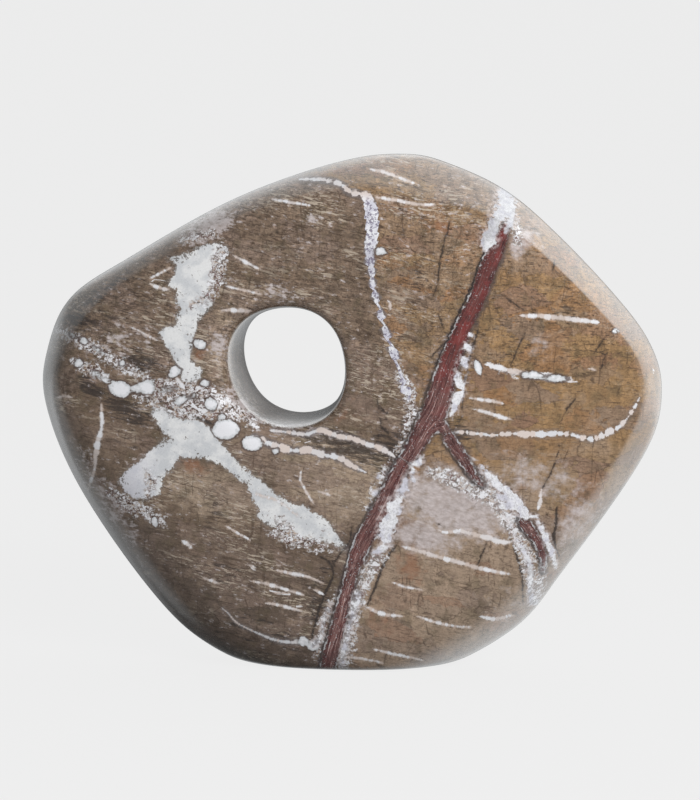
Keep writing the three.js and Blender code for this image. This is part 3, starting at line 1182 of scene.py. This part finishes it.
@dataclass
class MarbleFinish:
    """The polished marble, from its ground up to its veins.

    Attributes:
        graph: The material's nodes.
        colours: The stone's colours.
        changes: Where its markings change.
        roughness: How rough it is at least, and how much rougher it is in places.
        ior: How strongly the stone itself shines.
        coat_roughness: How rough its polish is.
        coat_ior: How strongly its polish shines.
    """

    graph: Graph = field(default_factory=lambda: Graph("polished_marble"))
    colours: MarbleColours = field(default_factory=MarbleColours)
    changes: Changes = field(default_factory=Changes)
    roughness: tuple[float, float] = (0.22, 0.12)
    ior: float = 1.6
    coat_roughness: float = 0.14
    coat_ior: float = 1.9

    def build(self) -> bpy.types.Material:
        """Layers the colours and sets the polish.

        Returns:
            The material.
        """
        g = self.graph
        self.x, self.height, self.depth = g.measures("place")
        self.place = g.join((self.x, self.height, self.depth))
        self.beds = g.join(g.measures("beds"))
        # Millimetres right of the red vein, inside the tan ground left of it, and down the picture.
        self.right, self.middle, self.down = g.measures("zones")
        self.left = g.rise(self.right, 2, -2)
        self.dark, self.pale, self.rusty = g.measures("tone")
        self.fine = self.grain(1.5, 3, 2)
        self.small = self.grain(0.5, 11, 3, 0.6)
        self.broad = self.grain(0.05, 5, 3)
        self.cloud = self.grain(0.18, 33, 4, 0.6)
        self.sway = g.calc("MULTIPLY_ADD", self.grain(0.2, 91, 3, 0.6), 3.0, -1.5)
        self.tanned = g.rise(g.calc("MAXIMUM", self.right, self.middle), -4, 4)
        lively = g.rise(g.wobble(self.down, self.broad, 40), *self.changes.lively)
        self.busy = g.calc("MULTIPLY_ADD", lively, 0.65, 0.7)
        colour = self.ground()
        for layer in (self.bedding, self.stains, self.network, self.cracks, self.patches, self.speckles,
                      self.short_veins, self.chains, self.big_beads, self.red_veins, self.crystals):
            colour = layer(colour)
        g.feed(g.shader.inputs["Base Color"], colour)
        self.polish()
        return g.material

    def hairline(self, scale: tuple[float, float, float], seed: float, width: float) -> Socket:
        """Draws thin lines that wander along the beds, where a noise passes through its middle value.

        Args:
            scale: How closely the lines lie each way.
            seed: Moves the pattern.
            width: How wide the lines are, in parts of the noise.

        Returns:
            1 on a line and 0 between them.
        """
        g = self.graph
        wave = g.noise(g.scaled(self.beds, scale, seed), 2, 0.3)
        return g.rise(g.calc("ABSOLUTE", g.calc("SUBTRACT", wave, 0.5)), width, width * 0.3)

    def grain(self, scale: float, seed: float, detail: float = 2.0, rough: float = 0.5) -> Socket:
        """Makes a noise that is equally fine in every direction of the stone.

        Args:
            scale: How many grains it has in a millimetre.
            seed: Moves the pattern.
            detail: How many finer layers it has.
            rough: How strong these are.

        Returns:
            Values about 0.5.
        """
        g = self.graph
        return g.noise(g.scaled(self.place, (scale, scale, scale), seed), detail, rough)

    def parts_of(self, scale: float, seed: float, low: float, high: float) -> Socket:
        """Picks out broad parts of the stone, for a marking that comes and goes."""
        return self.graph.rise(self.grain(scale, seed), low, high)

    def bent_beds(
        self, noise: Socket, reach: float, scale: tuple[float, float, float], seed: float
    ) -> Socket:
        """Scales the places along and across the beds and bends them, for cells with uneven sides.

        Args:
            noise: The noise that bends them.
            reach: How far it moves them at most.
            scale: How closely the cells lie each way.
            seed: Moves the pattern.

        Returns:
            Where the cells are read.
        """
        g = self.graph
        bend = g.wobble(0.0, noise, reach)
        return g.join(tuple(g.calc("ADD", bend, part) for part in g.split(g.scaled(self.beds, scale, seed))))

    def ground(self) -> Socket:
        """Mixes the brown grounds on either side of the great veins.

        Returns:
            The colour.
        """
        g, c = self.graph, self.colours
        _, _, sunny = g.measures("patch")
        low = g.rise(g.wobble(self.down, self.broad, 60), *self.changes.umber)
        paler = g.rise(g.wobble(self.down, self.broad, 50), *self.changes.fawn)
        middle = g.rise(g.wobble(self.middle, self.small, 4), -3, 3)
        left = g.mix(middle, c.taupe, c.tan)
        left = g.mix(g.times(g.rise(g.wobble(sunny, self.cloud, 0.5), 0.1, 0.9), 0.9), left, c.sand)
        left = g.mix(g.times(low, g.rise(sunny, 0.4, 0.0)), left, c.umber)
        right = g.mix(paler, c.ochre, c.fawn)
        colour = g.mix(g.rise(self.right, -1, 1), left, right)
        spot = self.bent_beds(self.cloud, 0.5, (0.05, 0.1, 0.05), 6)
        block, tint, _ = g.split(g.cells(spot).outputs["Color"])
        colour = g.mix(g.times(g.rise(block, 0.35, 0.9), 0.6), colour, c.mauve)
        colour = g.mix(g.times(g.rise(tint, 0.6, 1.0), self.tanned, 0.3), colour, c.rust)
        warm = self.grain(0.11, 21, 3, 0.6)
        colour = g.mix(g.times(g.rise(warm, 0.5, 0.7), 0.5), colour, c.olive)
        colour = g.mix(g.times(g.rise(warm, 0.47, 0.3), 0.35), colour, c.fawn)
        grain = g.calc("SUBTRACT", g.calc("ADD", self.small, self.fine), 1.0)
        grain = g.calc("ADD", grain, g.times(g.calc("SUBTRACT", self.cloud, 0.5), 0.7))
        return g.shade(colour, g.calc("MULTIPLY_ADD", grain, g.times(self.busy, 1.1), 1.03))

    def bedding(self, colour: Socket) -> Socket:
        """Adds the thin beds that run through the ground.

        Args:
            colour: The colour so far.

        Returns:
            The colour with the beds.
        """
        g, c = self.graph, self.colours
        thin = g.calc("SUBTRACT", g.noise(g.scaled(self.beds, (0.13, 0.9, 0.13), 2), 4, 0.7, 0.6), 0.5)
        strength = g.times(g.calc("MULTIPLY_ADD", self.tanned, -1.0, 1.6), self.busy)
        colour = g.shade(colour, g.calc("MULTIPLY_ADD", thin, strength, 1.0))
        upright = g.calc("SUBTRACT", g.noise(g.scaled(self.place, (0.4, 0.05, 0.05), 8), 3, 0.6, 0.4), 0.5)
        strength = g.times(self.tanned, self.busy, 0.7)
        colour = g.shade(colour, g.calc("MULTIPLY_ADD", upright, strength, 1.0))
        dark = g.noise(g.scaled(self.beds, (0.24, 1.2, 0.24), 43), 3, 0.65, 0.5)
        colour = g.mix(g.times(g.rise(dark, 0.54, 0.64), self.busy, 0.65), colour, c.bark)
        groups = g.rise(g.noise(g.scaled(self.beds, (0.03, 0.08, 0.03), 17), 2), 0.45, 0.62)
        kept = g.times(groups, g.calc("MULTIPLY_ADD", self.left, 0.8, 0.2))
        for scale, seed, low, share in (((0.16, 0.8, 0.16), 14, 0.57, 0.7), ((0.4, 1.8, 0.4), 23, 0.58, 0.6)):
            dashes = g.noise(g.scaled(self.beds, scale, seed), 2, 0.5, 0.3)
            colour = g.mix(g.times(g.rise(dashes, low, low + 0.07), kept, share), colour, c.straw)
        return colour

    def stains(self, colour: Socket) -> Socket:
        """Adds the soft dark, pale and rusty stains, and painted shade on the upper-left bevel and the bottom
        edge.

        Args:
            colour: The colour so far.

        Returns:
            The colour with the stains.
        """
        g, c = self.graph, self.colours
        strands = g.noise(g.scaled(self.beds, (0.10, 0.6, 0.10), 31), 4, 0.7, 0.8)
        rusty = g.wobble(self.rusty, self.cloud, 1.2)
        colour = g.mix(g.times(g.rise(rusty, 0.3, 1.1), g.rise(self.rusty, 0.0, 0.3), 0.55), colour, c.rust)
        # Dark blots: real dark stains, and painted shade on the upper-left bevel and the bottom edge.
        dark = g.times(g.rise(g.wobble(self.dark, strands, 2.0), 0.35, 0.95), g.rise(self.dark, 0.0, 0.4))
        colour = g.mix(g.times(dark, 0.8), colour, c.ink)
        dust = g.noise(g.scaled(self.beds, (0.3, 0.6, 0.3), 35), 4, 0.65)
        spread = g.calc("MULTIPLY_ADD", self.left, 2.6, 0.5)
        patchy = g.times(g.calc("SUBTRACT", dust, 0.5), spread)
        pale = g.calc("ADD", g.wobble(self.pale, self.cloud, 0.8), patchy)
        fog = g.mix(g.rise(dust, 0.2, 0.8), c.dove, c.haze)
        return g.mix(g.times(g.rise(pale, 0.25, 0.9), 0.85), colour, fog)

    def network(self, colour: Socket) -> Socket:
        """Adds the hairline cracks that break the ground into blocks.

        Args:
            colour: The colour so far.

        Returns:
            The colour with the hairlines.
        """
        g, c = self.graph, self.colours
        clear = g.rise(self.pale, 0.6, 0.2)
        flat, steep = ((0.02, 0.17, 0.04), 3, 0.016, 0.6), ((0.1, 0.016, 0.04), 9, 0.012, 0.55)
        for scale, seed, width, share in (flat, steep):
            line = g.times(self.hairline(scale, seed, width), self.parts_of(0.12, seed + 4, 0.47, 0.6))
            colour = g.mix(g.times(line, clear, share), colour, c.bark)
        wide, narrow = ((0.05, 0.1, 0.05), 6, 0.02, 0.6), ((0.16, 0.33, 0.15), 12, 0.045, 0.4)
        for scale, seed, width, share in (wide, narrow):
            spot = self.bent_beds(self.cloud, 0.6, scale, seed)
            edge = g.cells(spot, CellMeasure.EDGE).outputs["Distance"]
            line = g.times(g.rise(edge, width, width * 0.25), self.parts_of(0.15, seed + 5, 0.44, 0.58))
            colour = g.mix(g.times(line, clear, share), colour, c.bark)
        return colour

    def cracks(self, colour: Socket) -> Socket:
        """Adds the long dark cracks.

        Args:
            colour: The colour so far.

        Returns:
            The colour with the cracks.
        """
        g, c = self.graph, self.colours
        across, half, _ = g.measures("crack")
        aside = g.calc("ABSOLUTE", g.calc("ADD", across, g.times(self.sway, 0.7)))
        depth = g.calc("SUBTRACT", g.times(half, 0.45), aside)
        colour = g.mix(g.times(g.rise(g.wobble(depth, self.small, 2.4), -1.6, 0.6), 0.45), colour, c.bark)
        return g.mix(g.times(g.rise(g.wobble(depth, self.small, 1.2), -0.35, 0.35), 0.8), colour, c.ink)

    def speckles(self, colour: Socket) -> Socket:
        """Adds the stretches of small mixed grains.

        Args:
            colour: The colour so far.

        Returns:
            The colour with the grains.
        """
        g, c = self.graph, self.colours
        inside, _, _ = g.measures("speckle")
        spot = self.bent_beds(self.small, 1.6, (0.34, 0.5, 0.34), 51)
        pick, tint, _ = g.split(g.cells(spot).outputs["Color"])
        gap = g.cells(spot, CellMeasure.EDGE).outputs["Distance"]
        grain = self.grain(0.8, 55, 3, 0.65)
        rim = g.mix(g.rise(self.right, -4, 8), c.bark, c.smoke)
        matrix = g.mix(g.rise(grain, 0.40, 0.56), rim, g.mix(g.rise(tint, 0.4, 0.8), c.dove, c.clay))
        bead = g.mix(g.rise(tint, 0.35, 0.65), c.milk, g.mix(g.rise(grain, 0.4, 0.6), c.blush, c.ash))
        bead = g.shade(bead, g.calc("MULTIPLY_ADD", grain, 0.4, 0.8))
        swell = g.calc("MULTIPLY_ADD", pick, 0.3, -0.19)
        depth = g.wobble(g.calc("ADD", gap, swell), grain, 0.3)
        grains = g.mix(g.rise(depth, -0.02, 0.14), matrix, bead)
        clump = self.grain(0.35, 51, 3, 0.6)
        reach = g.wobble(g.wobble(inside, clump, 5.0), grain, 2.0)
        return g.mix(g.times(g.rise(reach, -1.0, 1.2), 0.92), colour, grains)

    def patches(self, colour: Socket) -> Socket:
        """Adds the broad pale patches.

        Args:
            colour: The colour so far.

        Returns:
            The colour with the patches.
        """
        g, c = self.graph, self.colours
        inside, _, _ = g.measures("patch")
        ragged = self.grain(0.45, 61, 5, 0.75)
        edge = g.wobble(inside, ragged, 3.4)
        cloud = g.rise(self.grain(0.12, 63, 4, 0.65), 0.38, 0.62)
        pale = g.mix(cloud, c.bone, c.ash)
        pearly = g.rise(g.wobble(self.x, self.small, 8), *self.changes.pearly)
        pale = g.mix(g.times(pearly, 0.6), pale, c.pearl)
        pale = g.shade(pale, g.calc("MULTIPLY_ADD", self.fine, 0.2, 0.9))
        holes = self.grain(0.55, 67, 4, 0.75)
        near = g.times(g.rise(inside, 5, 0), self.parts_of(0.08, 69, 0.4, 0.6))
        hole = g.rise(g.calc("MULTIPLY_ADD", near, 0.13, holes), 0.63, 0.69)
        pale = g.mix(g.times(hole, 0.85), pale, g.mix(g.rise(self.fine, 0.4, 0.6), c.bark, c.smoke))
        fringe = g.times(g.rise(g.wobble(edge, self.fine, 2.0), -1.8, 0.2), 0.5)
        colour = g.mix(fringe, colour, c.smoke)
        return g.mix(g.rise(edge, -0.3, 0.4), colour, pale)

    def beaded(self, name: str, pace: float, uneven: float, least: Value) -> tuple[Socket, Socket, Socket]:
        """Shapes a thin vein as a row of beads that run into each other.

        Args:
            name: The attribute that measures the vein, in millimetres.
            pace: How many beads there are in one half width.
            uneven: How much narrower than the vein a bead may be.
            least: How wide the necks between beads are at least, as a share of the vein.

        Returns:
            How deep inside a bead a place lies, how far inside the whole vein, and a value from 0 to
            1 that differs between beads.
        """
        g = self.graph
        across, half, along = g.measures(name)
        row = g.join((g.times(along, pace), 0.5, g.times(self.depth, 0.05)))
        pick = g.split(g.cells(row).outputs["Color"])[0]
        gap = g.cells(row, CellMeasure.EDGE).outputs["Distance"]
        neck = g.calc("MAXIMUM", g.times(g.rise(self.cloud, 0.42, 0.56), 0.8), least)
        swell = g.calc("ADD", neck, g.times(g.rise(gap, 0.02, 0.2), g.calc("SUBTRACT", 1.0, neck)))
        swell = g.times(swell, g.calc("MULTIPLY_ADD", pick, uneven, 1.1 - uneven))
        aside = g.calc("ABSOLUTE", g.calc("MULTIPLY_ADD", self.sway, 0.3, across))
        depth = g.calc("SUBTRACT", g.times(half, swell), aside)
        ragged = g.times(g.calc("SUBTRACT", self.small, 0.5), half, 1.3)
        return g.wobble(g.calc("ADD", depth, ragged), self.fine, 0.25), g.calc("SUBTRACT", half, aside), pick

    def short_veins(self, colour: Socket) -> Socket:
        """Adds the short white veins.

        Args:
            colour: The colour so far.

        Returns:
            The colour with them.
        """
        g, c = self.graph, self.colours
        for number in range(len(SHORT_VEINS)):
            depth, whole, pick = self.beaded(f"short_{number}", 0.25, 0.25, 0.75)
            halo = g.times(g.rise(g.wobble(whole, self.small, 2.2), -1.2, 0.8), 0.4)
            colour = g.mix(halo, colour, g.mix(g.rise(self.small, 0.42, 0.56), c.bark, c.blush))
            white = g.mix(g.rise(pick, 0.2, 0.9), c.shell, c.milk)
            share = g.calc("MULTIPLY_ADD", pick, 0.25, 0.7)
            colour = g.mix(g.times(g.rise(depth, -0.55, 0.45), share), colour, white)
        return colour

    def chains(self, colour: Socket) -> Socket:
        """Adds the veins of white beads.

        Args:
            colour: The colour so far.

        Returns:
            The colour with them.
        """
        g, c, at = self.graph, self.colours, self.changes
        wide = g.rise(self.down, *at.swollen)
        steady = g.times(g.rise(self.down, *at.joined), g.calc("MULTIPLY_ADD", wide, 0.35, 0.6))
        depth, whole, pick = self.beaded("chain", 0.36, 0.4, g.times(self.left, steady))
        shadow = g.calc("MULTIPLY_ADD", self.left, 0.45, 0.4)
        dark = g.times(g.rise(g.wobble(whole, self.small, 1.6), -1.2, 0.3), shadow)
        colour = g.mix(dark, colour, g.mix(self.small, c.plum, c.smoke))
        specks = self.grain(0.55, 57, 4, 0.7)
        cool = g.mix(g.rise(self.cloud, 0.4, 0.6), c.milk, c.pearl)
        cool = g.mix(g.times(g.rise(specks, 0.51, 0.57), 0.85), cool, c.violet)
        upper = g.times(self.left, g.rise(self.down, *at.violet_foot), g.rise(self.down, *at.violet_top))
        white = g.mix(upper, g.mix(g.rise(pick, 0.2, 0.8), c.milk, c.shell), cool)
        white = g.shade(white, g.calc("MULTIPLY_ADD", pick, 0.2, 0.82))
        return g.mix(g.rise(depth, -0.35, 0.45), colour, white)

    def big_beads(self, colour: Socket) -> Socket:
        """Adds the large white beads, each with a dark outline.

        Args:
            colour: The colour so far.

        Returns:
            The colour with them.
        """
        g, c = self.graph, self.colours
        _, inside, _ = g.measures("patch")
        edge = g.wobble(g.wobble(inside, self.small, 0.9), self.cloud, 0.7)
        outline = g.times(g.rise(edge, -0.9, -0.3), self.parts_of(0.12, 59, 0.3, 0.5), 0.85)
        colour = g.mix(outline, colour, g.mix(self.small, c.bark, c.plum))
        white = g.mix(g.rise(g.wobble(edge, self.small, 1.0), 0.2, 1.6), c.ash, c.milk)
        inner = g.mix(g.rise(edge, -0.2, 0.4), c.smoke, white)
        return g.mix(g.rise(edge, -0.35, 0.3), colour, inner)

    def red_veins(self, colour: Socket) -> Socket:
        """Adds the red veins with their fibres and borders.

        Args:
            colour: The colour so far.

        Returns:
            The colour with them.
        """
        g, c = self.graph, self.colours
        inside, across, along = g.measures("red")
        strand = g.join((g.times(along, 0.3), g.times(across, 1.5), g.times(self.depth, 0.12)))
        fibres = g.noise(strand, 4, 0.7, 0.8)
        lower = g.rise(g.wobble(self.down, self.broad, 20), *self.changes.brown)
        body = g.mix(g.rise(fibres, 0.40, 0.60), c.wine, g.mix(lower, c.maroon, c.clay))
        bright = g.times(g.rise(self.cloud, 0.45, 0.62), g.calc("MULTIPLY_ADD", lower, -0.7, 1.0))
        body = g.mix(g.times(bright, 0.6), body, c.crimson)
        pale = g.noise(g.scaled(strand, (1.0, 1.3, 1.0), 19), 4, 0.7, 0.8)
        share = g.calc("MULTIPLY_ADD", lower, 0.6, 0.25)
        body = g.mix(g.times(g.rise(pale, 0.54, 0.62), share), body, c.rose)
        body = g.mix(g.times(g.rise(pale, 0.62, 0.67), share), body, c.ash)
        dots = self.grain(1.2, 73, 2, 0.6)
        sides = g.calc("MULTIPLY_ADD", g.rise(inside, 2.0, 0.4), 0.04, dots)
        body = g.mix(g.times(g.rise(sides, 0.66, 0.71), 0.85), body, c.ash)
        deep = g.rise(g.wobble(inside, self.small, 1.5), 0.0, 2.4)
        body = g.shade(body, g.calc("MULTIPLY_ADD", deep, 0.4, 0.65))
        edge = g.wobble(inside, self.small, 1.6)
        left = g.rise(across, 0.5, -0.5)
        border = g.times(g.rise(g.wobble(edge, self.cloud, 3.0), -3.0, -0.2), 0.8)
        colour = g.mix(border, colour, g.mix(self.small, c.ink, c.plum))
        crack = g.times(g.rise(edge, -1.7, -1.1), g.rise(edge, -0.2, -0.8), left)
        crack = g.times(crack, self.parts_of(0.1, 79, 0.25, 0.4))
        colour = g.mix(g.times(crack, g.calc("MULTIPLY_ADD", lower, -0.4, 0.95)), colour, c.ink)
        colour = g.mix(g.rise(edge, -0.4, 0.4), colour, body)
        thread = g.times(g.rise(edge, -0.6, -0.2), g.rise(edge, 0.4, 0.1), self.parts_of(0.3, 77, 0.45, 0.6))
        return g.mix(g.times(thread, g.calc("MAXIMUM", left, lower), 0.65), colour, c.ash)

    def crystals(self, colour: Socket) -> Socket:
        """Adds the thick white crystal beside the red veins, painted darker towards the top as painted shade.

        Args:
            colour: The colour so far.

        Returns:
            The colour with it.
        """
        g, c = self.graph, self.colours
        inside, across, _ = g.measures("crystal")
        half = g.calc("ADD", inside, g.calc("ABSOLUTE", across))
        ragged = g.calc("SUBTRACT", self.grain(0.3, 81, 3, 0.55), 0.5)
        edge = g.wobble(g.calc("MULTIPLY_ADD", ragged, g.times(half, 2.6), inside), self.fine, 0.3)
        reach = g.calc("DIVIDE", g.wobble(edge, self.small, 2.0), g.calc("MAXIMUM", half, 0.6))
        frost = g.times(g.rise(reach, -1.3, 0.1), 0.55)
        colour = g.mix(frost, colour, g.mix(g.rise(self.small, 0.4, 0.6), c.plum, c.haze))
        crackle = self.grain(0.42, 83, 4, 0.7)
        veined = g.rise(g.calc("ABSOLUTE", g.calc("SUBTRACT", crackle, 0.5)), 0.035, 0.005)
        white = g.mix(g.rise(self.cloud, 0.42, 0.62), c.milk, c.pearl)
        white = g.mix(g.times(veined, 0.45), white, c.smoke)
        mottled = g.times(g.rise(self.down, *self.changes.mottled), g.rise(crackle, 0.46, 0.58), 0.8)
        white = g.mix(mottled, white, g.mix(g.rise(self.fine, 0.4, 0.6), c.plum, c.smoke))
        # Painted shade: the crystal is darkened towards the top of the stone, where the light falls
        # brightest.
        upper = g.rise(g.wobble(self.down, self.broad, 10), *self.changes.painted_top_shade)
        white = g.shade(white, g.wobble(g.calc("MULTIPLY_ADD", upper, -0.3, 1.0), self.small, 0.15))
        return g.mix(g.rise(edge, -0.35, 0.4), colour, white)

    def polish(self) -> None:
        """Sets how the stone shines."""
        g, (least, more) = self.graph, self.roughness
        g.feed(g.shader.inputs["Roughness"], g.calc("MULTIPLY_ADD", self.small, more, least))
        g.shader.inputs["IOR"].default_value = self.ior
        g.shader.inputs["Coat Weight"].default_value = 1.0
        g.shader.inputs["Coat Roughness"].default_value = self.coat_roughness
        g.shader.inputs["Coat IOR"].default_value = self.coat_ior


def main() -> None:
    """Builds the scene: the camera, the studio and the stone."""
    logging.basicConfig(level=logging.INFO, format="%(message)s")
    view = View()
    view.add_camera()
    Studio().build()
    piece = Stone().build()
    Markings(piece, view).build()
    piece.data.materials.append(MarbleFinish().build())
    LOG.info("%s: %d faces", piece.name, len(piece.data.polygons))
    bpy.context.scene.view_settings.view_transform = "Standard"


if __name__ == "__main__":
    main()
